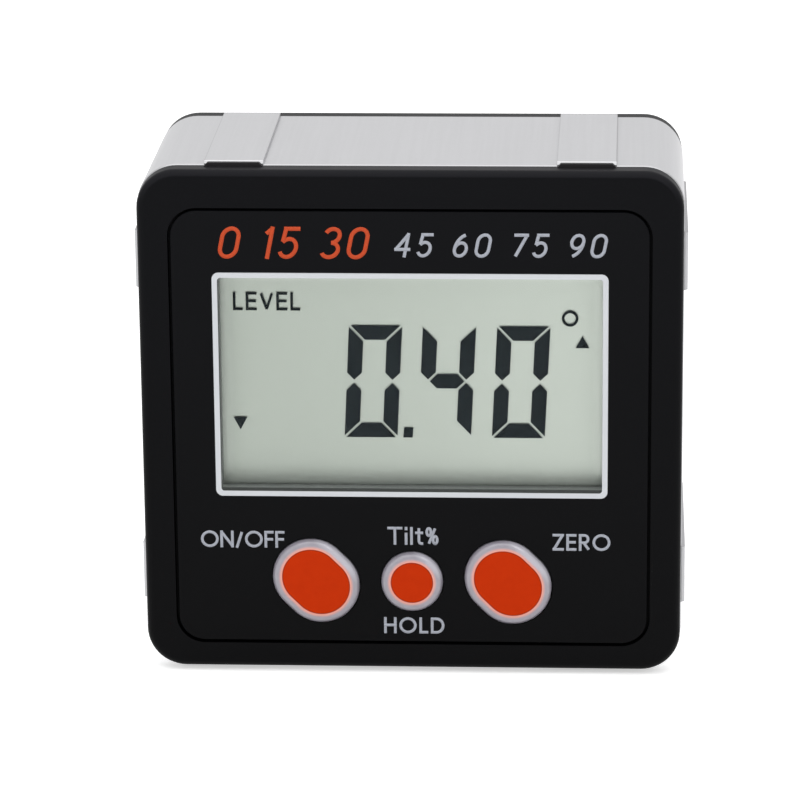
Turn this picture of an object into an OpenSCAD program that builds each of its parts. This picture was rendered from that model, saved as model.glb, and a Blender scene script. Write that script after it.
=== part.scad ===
/* [Frame] */
// Width of the extruded frame across its main side faces
frame_w = 60.2; // [59.5:0.1:80]
// Height of the frame between its main top and bottom faces
frame_h = 57.8; // [57:0.1:80]
// Length of the frame from cover to cover
frame_len = 24; // [23:0.5:45]
// Wall of the frame between its lands
frame_wall = 2.45; // [2.1:0.05:2.8]
// Outer corner radius of the frame
frame_corner_r = 4.5; // [3:0.05:5.5]
// Chamfer on the frame's end edges
end_chamfer = 0.2; // [0.1:0.05:0.3]
// Width of each reference land
land_w = 6.5; // [5.6:0.1:9]
// Distance from the frame's side face to the near edge of a land
land_inset = 7.5; // [6:0.05:10]
// Height of the lands above the frame's main faces
land_rise = 0.4; // [0.35:0.05:0.8]
// Chamfer on the end edges of the lands
land_chamfer = 0.3; // [0.1:0.05:0.35]
// Distance from the frame's faces to the axis of a screw channel
channel_inset = 7.1; // [6.6:0.05:7.4]
// Radius of a screw channel
channel_r = 1.05; // [0.9:0.05:1.3]
// Wall round a screw channel
channel_wall = 1.5; // [1.1:0.1:1.8]
// Width of the slot along a screw channel
channel_slot = 1.2; // [0.8:0.1:1.4]
// Thickness of the web that carries a screw channel
channel_web = 2.4; // [1.6:0.1:3]

/* [Base magnets] */
// Diameter of a base magnet
magnet_d = 5; // [3:0.1:5.4]
// Thickness of a base magnet
magnet_t = 1.8; // [1:0.1:1.9]
// Distance between the two magnets of one land
magnet_pitch = 14; // [8:0.5:17]
// Depth of a magnet's face below its land
magnet_sink = 0.05; // [0.02:0.01:0.1]
// Radial clearance round a magnet
magnet_gap = 0.03; // [0.01:0.01:0.1]

/* [Covers] */
// Step by which the frame's main faces stand proud of the front cover
cover_step = 0.1; // [0.05:0.05:0.3]
// Step by which the frame's main faces stand proud of the rear cover
rear_step = 0.05; // [0:0.05:0.3]
// Thickness of the front cover in front of the frame
front_t = 2.6; // [2.5:0.1:3.4]
// Thickness of the rear cover behind the frame
rear_t = 2.6; // [2.5:0.1:4]
// Rounding of the front cover's outer edge
edge_r = 0.9; // [0.4:0.1:1.2]
// Rounding of the rear cover's outer edge
rear_edge_r = 0.9; // [0.4:0.1:1.2]
// Depth of the front cover's pads below the top and bottom lands that they meet
pad_sink = 0.07; // [0.05:0.01:0.09]
// Length of the front cover's pads
pad_len = 0.6; // [0.4:0.1:1.2]
// Depth of the locating lips inside the frame
lip_depth = 2; // [1:0.1:3]
// Thickness of the locating lips
lip_t = 1.2; // [0.8:0.1:1.4]
// Clearance between a lip and the frame
lip_gap = 0.15; // [0.05:0.05:0.3]
// Distance from the axis of a screw channel to the end of a lip
lip_end = 5; // [4:0.5:9]

/* [Face panel] */
// Margin of the cover beside the face panel
panel_side = 3.7; // [3.6:0.1:4]
// Margin of the cover above the face panel
panel_top = 4.5; // [4:0.05:4.6]
// Margin of the cover below the face panel
panel_bottom = 3.25; // [3:0.05:3.8]
// Corner radius of the face panel
panel_corner_r = 2.9; // [2:0.1:3.8]
// Thickness of the face panel
panel_t = 1.2; // [1:0.1:1.3]
// Rounding of the face panel's front edge
panel_edge_r = 0.2; // [0.1:0.05:0.4]
// Groove between the face panel and its recess
panel_gap = 0.3; // [0.2:0.05:0.5]

/* [Display] */
// Margin of the cover beside the display window
window_side = 8.2; // [7.9:0.05:9]
// Margin of the cover above the display window
window_top = 11.5; // [11.2:0.1:12.4]
// Margin of the cover below the display window
window_bottom = 20.35; // [20.1:0.05:21.5]
// Corner radius of the display window
window_corner_r = 0.75; // [0.4:0.05:1.5]
// Width of the ledge that carries the window
window_ledge = 0.6; // [0.4:0.05:1]
// Clearance round the window in the face panel
window_gap = 0.05; // [0.02:0.01:0.15]
// Thickness of the foam gasket in front of the liquid crystal cell
gasket_t = 0.4; // [0.4:0.1:1.2]
// Width of the gasket's rim
gasket_w = 1.2; // [0.8:0.1:1.3]
// Step back of the gasket from the opening in the cover
gasket_set = 0.15; // [0.05:0.05:0.3]
// Thickness of each glass plate of the liquid crystal cell
glass_t = 1.4; // [1.1:0.1:1.6]
// Overlap of the front glass beyond the opening at the sides
glass_side = 3; // [2:0.1:3.2]
// Overlap of the front glass beyond the opening at top and bottom
glass_rim = 1.55; // [1.45:0.05:1.7]
// Width of the front glass left bare for the contact strips
glass_ledge = 2.3; // [2:0.1:2.8]
// Clearance between the glass and its locating ribs
glass_gap = 0.15; // [0.05:0.05:0.25]
// Thickness of the locating ribs round the glass
rib_t = 1; // [0.8:0.1:1.1]
// Height of the elastomer contact strips
strip_h = 4.2; // [3.8:0.1:5]
// Width of the elastomer contact strips
strip_w = 1.8; // [1.4:0.1:1.9]
// Step back of a contact strip from the ends of the glass
strip_end = 2.2; // [1:0.1:5]

/* [Keys] */
// Distance from one key to the next
key_pitch = 10.75; // [10.4:0.05:11.5]
// Height of the key row above the bottom of the cover
key_rise = 10.45; // [9.8:0.05:11]
// End radius of the two oblong keys
oblong_r = 4.32; // [3.6:0.02:4.5]
// Half the distance between the end centres of an oblong key
oblong_half = 0.78; // [0.4:0.02:1]
// Tilt of the oblong keys
oblong_tilt = -45; // [-60:1:0]
// Radius of the round key
round_r = 3.46; // [2.8:0.02:3.8]
// Height of the keys above the face panel
key_proud = 0.55; // [0.52:0.01:1]
// Rounding of the keys' front edges
key_edge_r = 0.45; // [0.2:0.05:0.5]
// Clearance round a key
key_gap = 0.12; // [0.08:0.01:0.2]
// Width of the flange that keeps a key in
flange_w = 0.9; // [0.5:0.1:1]
// Thickness of the flange that keeps a key in
flange_t = 0.8; // [0.5:0.1:0.9]
// Clearance between a key's flange and the cover at rest
flange_gap = 0.05; // [0.02:0.01:0.1]
// Travel of a key
key_travel = 0.5; // [0.3:0.05:0.5]
// Radius of the post that presses the switch
post_r = 1.6; // [1:0.1:2]

/* [Switches] */
// Width of a switch housing
switch_w = 6; // [5:0.1:6.4]
// Height of a switch housing
switch_h = 3.5; // [3.2:0.1:3.6]
// Radius of a switch plunger
plunger_r = 1.7; // [1.2:0.1:2]
// Radial clearance round a switch plunger
plunger_gap = 0.1; // [0.05:0.01:0.2]
// Height of a plunger above its housing at rest
plunger_out = 0.6; // [0.55:0.05:0.8]
// Length of a plunger inside its housing at rest
plunger_in = 1.6; // [1:0.1:1.8]
// Play below a plunger at the end of its travel
plunger_play = 0.2; // [0.1:0.05:0.4]

/* [Circuit board] */
// Thickness of the circuit board
board_t = 1.6; // [1:0.1:1.6]
// Clearance between the circuit board and the frame
board_gap = 0.75; // [0.4:0.05:1]
// Clearance between the circuit board and the screw channels
board_notch_gap = 0.5; // [0.3:0.1:1]
// Radius of the bosses that carry the circuit board
boss_r = 1.9; // [1.6:0.1:2]
// Distance of the upper bosses from the middle of the board
boss_upper_x = 10; // [6:0.5:14]
// Distance of the lower bosses from the middle of the board
boss_lower_x = 20; // [19:0.5:21]
// Distance from the edge of the glass to the axis of a boss
boss_glass = 3.4; // [3.2:0.1:3.6]
// Side of the tilt sensor's package
sensor_w = 6; // [4:0.1:9]
// Height of the tilt sensor's package
sensor_h = 1.8; // [1:0.1:2.4]
// Height of the tilt sensor above the middle of the board
sensor_rise = 9; // [7:0.5:12]
// Radius of the potting drop over the processor
potting_r = 5; // [3:0.1:6]
// Height of the potting drop over the processor
potting_h = 1.6; // [1:0.1:2]
// Drop of the processor below the middle of the board
processor_drop = 6; // [4:0.5:9]
// Radius of the quartz crystal's can
crystal_r = 1.05; // [0.8:0.05:1.5]
// Length of the quartz crystal's can
crystal_len = 6.2; // [4:0.1:8]
// Distance of the quartz crystal from the middle of the board
crystal_x = 12; // [11:0.5:15]
// Length of a chip capacitor
capacitor_len = 2; // [1:0.1:3]
// Width and height of a chip capacitor
capacitor_w = 1.2; // [0.5:0.1:1.4]
// Distance from one chip capacitor to the next
capacitor_pitch = 3; // [2:0.1:4]

/* [Screws] */
// Length of a cover screw's shank
screw_len = 8; // [6:0.5:9]
// Radius of a cover screw's head
head_r = 2; // [1.7:0.1:2.2]
// Height of a cover screw's head
head_h = 1.1; // [0.8:0.1:1.2]
// Radial clearance of a screw in its hole
hole_gap = 0.15; // [0.1:0.05:0.25]
// Radial clearance between a screw's core and its thread hole
thread_gap = 0.02; // [0.01:0.01:0.05]
// Depth of a screw's head below its surface
head_sink = 0.1; // [0.05:0.05:0.2]
// Width of a screw's cross recess
cross_w = 0.5; // [0.3:0.05:0.6]
// Depth of a screw's cross recess
cross_depth = 0.6; // [0.3:0.1:0.7]
// Core radius of a board screw
board_screw_r = 0.9; // [0.7:0.05:1]
// Shank length of a board screw below the board
board_screw_len = 4; // [3:0.5:4.5]
// Head radius of a board screw
board_head_r = 1.8; // [1.4:0.1:2]
// Head height of a board screw
board_head_h = 1.2; // [0.8:0.1:1.5]

/* [Battery bay] */
// Diameter of a battery cell
cell_d = 10.5; // [10:0.1:10.5]
// Rounding of a cell's crimped edges
cell_edge_r = 0.5; // [0.2:0.1:0.8]
// Radius of a cell's button
button_r = 1.9; // [1.5:0.1:2.4]
// Height of a cell's button
button_h = 1; // [0.8:0.1:1.4]
// Clearance round a cell
cell_gap = 0.35; // [0.2:0.05:0.4]
// Length of a compressed contact spring
spring_len = 5.5; // [4:0.1:5.5]
// Wire radius of a contact spring
spring_wire_r = 0.35; // [0.25:0.05:0.4]
// Coil radius of a contact spring at its plate
spring_base_r = 3.6; // [2.8:0.1:4]
// Coil radius of a contact spring at its cell
spring_tip_r = 2.2; // [1.6:0.1:2.6]
// Turns of a contact spring
spring_turns = 3.5; // [2.5:0.5:4.5]
// Thickness of a contact plate
contact_t = 0.4; // [0.2:0.05:0.4]
// Margin of a contact plate inside the height of its cell
contact_margin = 0.6; // [0.3:0.1:2]
// Width of the tail that joins a contact to the board
tail_w = 3; // [2:0.1:5]
// Clearance of a tail in its slot
tail_gap = 0.1; // [0.05:0.05:0.2]
// Wall of the battery bay
bay_wall = 1.2; // [0.8:0.1:1.2]
// Clearance between the ends of the battery bay and the frame
bay_gap = 1.05; // [0.9:0.05:1.6]
// Width of the ledge that the battery door lies on
door_ledge = 1.3; // [0.8:0.1:2]
// Thickness of the battery door
door_t = 1.6; // [1.4:0.1:1.6]
// Clearance round the battery door
door_gap = 0.15; // [0.1:0.05:0.25]
// Thickness of the door's tongues
tongue_t = 0.7; // [0.5:0.1:0.8]
// Width of the door's tongues
tongue_w = 0.9; // [0.5:0.1:1.2]
// Number of thumb grooves on the door
groove_count = 5; // [3:1:7]
// Distance from one thumb groove to the next
groove_pitch = 2.2; // [1.6:0.1:3]
// Length of a thumb groove
groove_len = 12; // [6:0.5:18]
// Radius of a thumb groove's section
groove_r = 0.6; // [0.3:0.1:0.7]

/* [Hidden] */
$fn = 96;
eps = 0.01;

// Overall places: the part stands on its bottom lands, with the middle of its depth at the origin
cover_w = frame_w - 2 * cover_step;
cover_h = frame_h - 2 * cover_step;
cover_corner_r = frame_corner_r - cover_step;
rear_w = frame_w - 2 * rear_step;
rear_h = frame_h - 2 * rear_step;
rear_corner_r = frame_corner_r - rear_step;
depth_back = front_t + frame_len + rear_t;
front_y = key_proud - (key_proud + depth_back) / 2;
mid_z = frame_h / 2 + land_rise;
depth_frame_end = front_t + frame_len;
inner_w = frame_w - 2 * frame_wall;
inner_h = frame_h - 2 * frame_wall;
channel_x = frame_w / 2 - channel_inset;
channel_z = frame_h / 2 - channel_inset;
channel_boss_r = channel_r + channel_wall;
corners = [for (sx = [-1, 1], sz = [-1, 1]) [sx, sz]];

// Face panel and window, measured from the middle of the cover
panel_w = cover_w - 2 * panel_side;
panel_h = cover_h - panel_top - panel_bottom;
panel_z = (panel_bottom - panel_top) / 2;
window_w = cover_w - 2 * window_side;
window_h = cover_h - window_top - window_bottom;
window_z = (window_bottom - window_top) / 2;
opening_w = window_w - 2 * window_ledge;
opening_h = window_h - 2 * window_ledge;

// Stack behind the front cover
depth_glass = front_t + gasket_t;
depth_board = depth_glass + glass_t + strip_h;
depth_board_back = depth_board + board_t;
glass_w = opening_w + 2 * glass_side;
glass_h = opening_h + 2 * glass_rim;
strip_z = glass_h / 2 - glass_ledge / 2;

// Keys, from the middle of the cover
key_z = key_rise - cover_h / 2;
power_place = [-key_pitch, key_z];
hold_place = [0, key_z];
zero_place = [key_pitch, key_z];
key_places = [power_place, hold_place, zero_place];
depth_flange = front_t + flange_gap;
depth_post_end = depth_board - switch_h - plunger_out;

// Circuit board and its bosses
board_w = inner_w - 2 * board_gap;
board_h = inner_h - 2 * board_gap;
notch_x = channel_x - channel_boss_r - board_notch_gap;
notch_z = channel_z - channel_boss_r - board_notch_gap;
boss_upper_z = window_z + glass_h / 2 + boss_glass;
boss_lower_z = window_z - glass_h / 2 - boss_glass;
boss_places = [
    [-boss_upper_x, boss_upper_z], [boss_upper_x, boss_upper_z],
    [-boss_lower_x, boss_lower_z], [boss_lower_x, boss_lower_z]
];

// Battery bay and its door, with cells as long as the bay leaves between its contacts
cell_pitch = cell_d + 2 * cell_gap;
cell_z = cell_pitch / 2;
bay_len = inner_w - 2 * (bay_gap + bay_wall);
cell_len = bay_len - spring_len - 2 * contact_t;
bay_half_h = cell_pitch / 2 + cell_d / 2 + cell_gap;
depth_door = depth_back - door_t;
depth_door_seat = depth_door - door_gap;
depth_cell = depth_door - cell_gap - cell_d / 2;
depth_bay_floor = depth_cell - cell_d / 2 - cell_gap;
depth_bay_front = depth_bay_floor - bay_wall;
contact_x = bay_len / 2 - contact_t;
contact_h = cell_d - 2 * contact_margin;
door_half_h = bay_half_h + door_ledge;
door_left = -(bay_len / 2 + bay_wall);

// Draws its children, made with x to the right and y up, facing the front at a depth behind the face
module on_face(depth) {
    translate([0, front_y + depth, mid_z])
        rotate([90, 0, 0])
            children();
}

// Extrudes a flat outline of the face from one depth to another
module slab(depth_from, depth_to) {
    on_face(depth_to)
        linear_extrude(depth_to - depth_from)
            children();
}

// Flat rectangle with round corners
module rounded_rect(w, h, r) {
    square([w - 2 * r, h], center = true);
    square([w, h - 2 * r], center = true);
    for (c = corners)
        translate([c[0] * (w / 2 - r), c[1] * (h / 2 - r)])
            circle(r);
}

// Flat outline with two round ends
module obround(half, r) {
    square([2 * half, 2 * r], center = true);
    for (s = [-1, 1])
        translate([s * half, 0])
            circle(r);
}

// Half section of a plate whose top edge is rounded, from its corner's axis outwards
module edge_section(r, t, edge) {
    square([r, t - edge]);
    square([r - edge, t]);
    translate([r - edge, t - edge])
        intersection() {
            circle(edge);
            square(edge);
        }
}

// Block with round corners whose sides have the section given as its child, drawn outwards from
// the centres of the corners
module swept_block(w, h, r, t) {
    straight_w = w - 2 * r;
    straight_h = h - 2 * r;
    translate([-straight_w / 2, -straight_h / 2, 0])
        cube([straight_w, straight_h, t]);
    for (flip = [0, 1]) {
        mirror([0, flip, 0])
            translate([-straight_w / 2, straight_h / 2, 0])
                rotate([90, 0, 90])
                    linear_extrude(straight_w)
                        children();
        mirror([flip, 0, 0])
            translate([straight_w / 2, straight_h / 2, 0])
                rotate([90, 0, 0])
                    linear_extrude(straight_h)
                        children();
    }
    for (turn = [0:3])
        translate([(turn % 3 == 0 ? 1 : -1) * straight_w / 2, (turn < 2 ? 1 : -1) * straight_h / 2, 0])
            rotate(90 * turn)
                rotate_extrude(angle = 90)
                    children();
}

// Plate with round corners and a rounded top edge
module filleted_plate(w, h, r, t, edge) {
    swept_block(w, h, r, t)
        edge_section(r, t, edge);
}

// Oblong cap with a rounded top edge
module filleted_obround(half, r, t, edge) {
    translate([-half, 0, 0])
        rotate([90, 0, 90])
            linear_extrude(2 * half)
                for (flip = [0, 1])
                    mirror([flip, 0])
                        edge_section(r, t, edge);
    for (side = [0, 1])
        mirror([side, 0, 0])
            translate([half, 0, 0])
                rotate(-90)
                    rotate_extrude(angle = 180)
                        edge_section(r, t, edge);
}

// Pan head or countersunk screw, head up, with its seat at the origin
module screw(core_r, len, head, head_height, countersunk) {
    difference() {
        union() {
            translate([0, 0, -len])
                cylinder(r = core_r, h = len + eps);
            if (countersunk)
                translate([0, 0, -head_height])
                    cylinder(r1 = core_r, r2 = head, h = head_height);
            else
                cylinder(r = head, h = head_height);
        }
        translate([0, 0, (countersunk ? 0 : head_height) - cross_depth])
            for (turn = [0, 90])
                rotate(turn)
                    translate([-head * 0.6, -cross_w / 2, 0])
                        cube([head * 1.2, cross_w, cross_depth + eps]);
    }
}

// Flat section of the screw channel in the upper right corner
module channel_section() {
    reach = (channel_inset - frame_corner_r) * sqrt(2) + frame_corner_r - frame_wall / 2;
    translate([channel_x, channel_z])
        rotate(45)
            difference() {
                union() {
                    circle(channel_boss_r);
                    translate([0, -channel_web / 2])
                        square([reach, channel_web]);
                }
                circle(channel_r);
                translate([-channel_boss_r - 1, -channel_slot / 2])
                    square([channel_boss_r + 1, channel_slot]);
            }
}

// Long section of a land, from inside the frame's wall to its chamfered ends
module land_section() {
    polygon([
        [0, -frame_wall / 2], [frame_len, -frame_wall / 2], [frame_len, land_rise - land_chamfer],
        [frame_len - land_chamfer, land_rise], [land_chamfer, land_rise], [0, land_rise - land_chamfer]
    ]);
}

// Places its children on the lands of the given sides, counted from the top, with x across the
// land and z out of the frame's main face
module land_places(sides) {
    for (side = sides, s = [-1, 1]) {
        half = side % 2 == 0 ? frame_h / 2 : frame_w / 2;
        across = side % 2 == 0 ? frame_w / 2 : frame_h / 2;
        translate([0, front_y + front_t, mid_z])
            rotate([0, 90 * side, 0])
                translate([s * (across - land_inset - land_w / 2), 0, half])
                    children();
    }
}

// Cross section of the pad that the front cover has in front of a land
module pad_section() {
    half = land_w / 2;
    top = land_rise - pad_sink;
    slope = top + cover_step;
    polygon([
        [-half, -frame_wall / 2], [half, -frame_wall / 2], [half, -cover_step],
        [half - slope, top], [slope - half, top], [-half, -cover_step]
    ]);
}

module magnet_places() {
    for (s = [-1, 1], along = [-1, 1])
        translate([
            s * (frame_w / 2 - land_inset - land_w / 2),
            front_y + front_t + frame_len / 2 + along * magnet_pitch / 2,
            0
        ])
            children();
}

// Outer block of the frame with its chamfered ends
module frame_block() {
    r = frame_corner_r;
    translate([0, front_y + front_t, mid_z])
        rotate([-90, 0, 0])
            swept_block(frame_w, frame_h, r, frame_len)
                polygon([
                    [0, 0], [r - end_chamfer, 0], [r, end_chamfer],
                    [r, frame_len - end_chamfer], [r - end_chamfer, frame_len], [0, frame_len]
                ]);
}

module frame() {
    color("#c9cacd")
    difference() {
        union() {
            difference() {
                frame_block();
                slab(front_t - 1, depth_frame_end + 1)
                    rounded_rect(inner_w, inner_h, frame_corner_r - frame_wall);
            }
            slab(front_t, depth_frame_end)
                for (flip_x = [0, 1], flip_z = [0, 1])
                    mirror([flip_x, 0])
                        mirror([0, flip_z])
                            channel_section();
            land_places([0, 1, 2, 3])
                translate([-land_w / 2, 0, 0])
                    rotate([90, 0, 90])
                        linear_extrude(land_w)
                            land_section();
        }
        magnet_places()
            translate([0, 0, -eps])
                cylinder(r = magnet_d / 2 + magnet_gap, h = magnet_t + magnet_sink + eps);
    }
}

module base_magnets() {
    color("#8f9196")
    magnet_places()
        translate([0, 0, magnet_sink])
            cylinder(d = magnet_d, h = magnet_t);
}

// Holes through the face for the three keys
module key_holes() {
    for (place = [power_place, zero_place])
        translate(place)
            rotate(oblong_tilt)
                obround(oblong_half, oblong_r + key_gap);
    translate(hold_place)
        circle(round_r + key_gap);
}

// Strips that locate a cover inside the frame, at top and bottom and on request at the sides
module lips(depth_from, depth_to, sides) {
    slab(depth_from, depth_to) {
        for (s = [-1, 1]) {
            translate([0, s * (inner_h / 2 - lip_gap - lip_t / 2)])
                square([2 * (channel_x - lip_end), lip_t], center = true);
            if (sides)
                translate([s * (inner_w / 2 - lip_gap - lip_t / 2), 0])
                    square([lip_t, 2 * (channel_z - lip_end)], center = true);
        }
    }
}

// Ribs that locate the glass behind the front cover
module glass_ribs() {
    slab(front_t - eps, depth_glass + glass_t)
        for (s = [-1, 1]) {
            translate([0, window_z + s * (glass_h / 2 + glass_gap + rib_t / 2)])
                square([glass_w / 2, rib_t], center = true);
            translate([s * (glass_w / 2 + glass_gap + rib_t / 2), window_z])
                square([rib_t, glass_h / 2], center = true);
        }
}

module front_cover() {
    color("#1b1c1f")
    difference() {
        union() {
            on_face(front_t)
                filleted_plate(cover_w, cover_h, cover_corner_r, front_t, edge_r);
            land_places([0, 2])
                rotate([90, 0, 0])
                    linear_extrude(pad_len)
                        pad_section();
            lips(front_t - eps, front_t + lip_depth, true);
            glass_ribs();
            slab(front_t - eps, depth_board)
                for (place = boss_places)
                    translate(place)
                        circle(boss_r);
        }
        slab(-1, panel_t)
            translate([0, panel_z])
                rounded_rect(panel_w + 2 * panel_gap, panel_h + 2 * panel_gap, panel_corner_r + panel_gap);
        slab(-1, front_t + eps) {
            translate([0, window_z])
                square([opening_w, opening_h], center = true);
            key_holes();
        }
        for (c = corners)
            on_face(panel_t + head_sink)
                translate([c[0] * channel_x, c[1] * channel_z, 0]) {
                    translate([0, 0, -front_t])
                        cylinder(r = channel_r + hole_gap, h = front_t);
                    translate([0, 0, -head_h])
                        cylinder(r1 = channel_r + hole_gap, r2 = head_r + hole_gap, h = head_h);
                    translate([0, 0, -eps])
                        cylinder(r = head_r + hole_gap, h = head_sink + 2 * eps);
                }
        slab(depth_board - board_screw_len - 0.5, depth_board + eps)
            for (place = boss_places)
                translate(place)
                    circle(board_screw_r + thread_gap);
    }
}

module face_panel() {
    color("#16171a")
    difference() {
        on_face(panel_t)
            translate([0, panel_z, 0])
                filleted_plate(panel_w, panel_h, panel_corner_r, panel_t, panel_edge_r);
        slab(-1, panel_t + eps) {
            translate([0, window_z])
                rounded_rect(window_w + 2 * window_gap, window_h + 2 * window_gap, window_corner_r + window_gap);
            key_holes();
        }
    }
}

module display_window() {
    color("#d8dfe0")
    slab(0, panel_t)
        translate([0, window_z])
            rounded_rect(window_w, window_h, window_corner_r);
}

module display_gasket() {
    inside_w = opening_w + 2 * gasket_set;
    inside_h = opening_h + 2 * gasket_set;
    color("#55585a")
    slab(front_t, depth_glass)
        translate([0, window_z])
            difference() {
                square([inside_w + 2 * gasket_w, inside_h + 2 * gasket_w], center = true);
                square([inside_w, inside_h], center = true);
            }
}

module lcd_cell() {
    color("#b7bfb7")
    union() {
        slab(depth_glass, depth_glass + glass_t)
            translate([0, window_z])
                square([glass_w, glass_h], center = true);
        slab(depth_glass + glass_t - eps, depth_glass + 2 * glass_t)
            translate([0, window_z])
                square([glass_w, glass_h - 2 * glass_ledge], center = true);
    }
}

module contact_strips() {
    color("#d9a3ac")
    slab(depth_glass + glass_t, depth_board)
        for (s = [-1, 1])
            translate([0, window_z + s * strip_z])
                square([glass_w - 2 * strip_end, strip_w], center = true);
}

module circuit_board() {
    color("#1f6a43")
    slab(depth_board, depth_board_back)
        difference() {
            union() {
                square([board_w, 2 * notch_z], center = true);
                square([2 * notch_x, board_h], center = true);
            }
            for (place = boss_places)
                translate(place)
                    circle(board_screw_r + hole_gap);
        }
}

module switch_housings() {
    color("#2b2c2e")
    difference() {
        slab(depth_board - switch_h, depth_board)
            for (place = key_places)
                translate(place)
                    square(switch_w, center = true);
        slab(depth_board - switch_h - eps, depth_board - switch_h + plunger_in + key_travel + plunger_play)
            for (place = key_places)
                translate(place)
                    circle(plunger_r + plunger_gap);
    }
}

module switch_plunger(place) {
    color("#d6d2c6")
    slab(depth_post_end, depth_board - switch_h + plunger_in)
        translate(place)
            circle(plunger_r);
}

module power_plunger() {
    switch_plunger(power_place);
}

module hold_plunger() {
    switch_plunger(hold_place);
}

module zero_plunger() {
    switch_plunger(zero_place);
}

// Post behind a key, from its flange to the switch plunger
module key_post(place) {
    slab(depth_flange + flange_t - eps, depth_post_end)
        translate(place)
            circle(post_r);
}

module oblong_key(place) {
    color("#bd3a12")
    union() {
        on_face(depth_flange + eps)
            translate(place)
                rotate(oblong_tilt)
                    filleted_obround(oblong_half, oblong_r, depth_flange + eps + key_proud, key_edge_r);
        slab(depth_flange, depth_flange + flange_t)
            translate(place)
                rotate(oblong_tilt)
                    obround(oblong_half, oblong_r + flange_w);
        key_post(place);
    }
}

module power_key() {
    oblong_key(power_place);
}

module zero_key() {
    oblong_key(zero_place);
}

module hold_key() {
    color("#bd3a12")
    union() {
        on_face(depth_flange + eps)
            translate(hold_place)
                rotate_extrude()
                    edge_section(round_r, depth_flange + eps + key_proud, key_edge_r);
        slab(depth_flange, depth_flange + flange_t)
            translate(hold_place)
                circle(round_r + flange_w);
        key_post(hold_place);
    }
}

module tilt_sensor() {
    color("#3a3b3f")
    slab(depth_board_back, depth_board_back + sensor_h)
        translate([0, sensor_rise])
            square(sensor_w, center = true);
}

// Low round drop of potting on the back of the board
module processor() {
    dome_r = (potting_r * potting_r + potting_h * potting_h) / (2 * potting_h);
    color("#111214")
    translate([0, front_y + depth_board_back, mid_z - processor_drop])
        rotate([-90, 0, 0])
            intersection() {
                translate([0, 0, potting_h - dome_r])
                    sphere(dome_r);
                cylinder(r = potting_r, h = potting_h);
            }
}

module quartz_crystal() {
    color("#c8c9cc")
    translate([crystal_x, front_y + depth_board_back + crystal_r, mid_z - crystal_len / 2])
        cylinder(r = crystal_r, h = crystal_len);
}

module chip_capacitors() {
    color("#b08d5e")
    slab(depth_board_back, depth_board_back + capacitor_w)
        for (s = [-1, 1], step = [-1:1])
            translate([s * (sensor_w / 2 + capacitor_len + 1), sensor_rise + step * capacitor_pitch])
                square([capacitor_len, capacitor_w], center = true);
}

module board_screws() {
    color("#9a9ca0")
    for (place = boss_places)
        translate([place[0], front_y + depth_board_back, mid_z + place[1]])
            rotate([-90, 0, 0])
                screw(board_screw_r, board_screw_len + board_t, board_head_r, board_head_h, false);
}

module front_screws() {
    color("#9a9ca0")
    for (c = corners)
        on_face(panel_t + head_sink)
            translate([c[0] * channel_x, c[1] * channel_z, 0])
                screw(channel_r - thread_gap, screw_len, head_r, head_h, true);
}

// Recess of the battery door in the back, with its side grooves, open on the right
module door_recess() {
    reach = rear_w / 2 + 1 - (door_left - door_gap);
    mouth_h = 2 * (door_half_h + door_gap);
    groove_h = mouth_h + 2 * tongue_w;
    translate([door_left - door_gap, front_y + depth_door_seat, mid_z - mouth_h / 2])
        cube([reach, depth_back - depth_door_seat + 1, mouth_h]);
    translate([door_left - door_gap, front_y + depth_door_seat, mid_z - groove_h / 2])
        cube([reach, tongue_t + 2 * door_gap, groove_h]);
}

// Back plate of the gauge with its rounded outer edge
module back_plate() {
    translate([0, front_y + depth_frame_end, mid_z])
        rotate([-90, 0, 0])
            filleted_plate(rear_w, rear_h, rear_corner_r, rear_t, rear_edge_r);
}

module rear_cover() {
    color("#1b1c1f")
    difference() {
        union() {
            back_plate();
            lips(depth_frame_end - lip_depth, depth_frame_end + eps, false);
            slab(depth_bay_front, depth_frame_end + eps)
                square([bay_len + 2 * bay_wall, 2 * (bay_half_h + bay_wall)], center = true);
        }
        slab(depth_bay_floor, depth_back + 1)
            square([bay_len, 2 * bay_half_h], center = true);
        door_recess();
        slab(depth_bay_front - 1, depth_bay_floor + eps)
            for (s = [-1, 1])
                translate([contact_x + contact_t / 2, s * cell_z])
                    square([contact_t + 2 * tail_gap, tail_w + 2 * tail_gap], center = true);
        for (c = corners)
            translate([c[0] * channel_x, front_y + depth_back - head_h - head_sink, mid_z + c[1] * channel_z])
                rotate([-90, 0, 0]) {
                    translate([0, 0, -rear_t])
                        cylinder(r = channel_r + hole_gap, h = rear_t + eps);
                    cylinder(r = head_r + hole_gap, h = head_h + head_sink + eps);
                }
    }
}

module battery_door() {
    tongue_len = bay_len + 2 * bay_wall;
    tongue_h = 2 * (door_half_h + tongue_w);
    color("#1b1c1f")
    difference() {
        union() {
            intersection() {
                back_plate();
                translate([door_left, front_y + depth_door, mid_z - door_half_h])
                    cube([rear_w, door_t, 2 * door_half_h]);
            }
            translate([door_left, front_y + depth_door, mid_z - tongue_h / 2])
                cube([tongue_len, tongue_t, tongue_h]);
        }
        for (step = [0:groove_count - 1])
            translate([
                (step - (groove_count - 1) / 2) * groove_pitch,
                front_y + depth_back + groove_r / 3,
                mid_z - groove_len / 2
            ])
                cylinder(r = groove_r, h = groove_len);
    }
}

// Battery cell along X with its button towards +X and its flat end at the origin
module battery_cell() {
    body_len = cell_len - button_h;
    rotate([0, 90, 0])
        rotate_extrude() {
            translate([0, cell_edge_r])
                square([cell_d / 2, body_len - 2 * cell_edge_r]);
            square([cell_d / 2 - cell_edge_r, body_len]);
            for (end = [cell_edge_r, body_len - cell_edge_r])
                translate([cell_d / 2 - cell_edge_r, end])
                    circle(cell_edge_r);
            square([button_r, cell_len]);
        }
}

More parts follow.
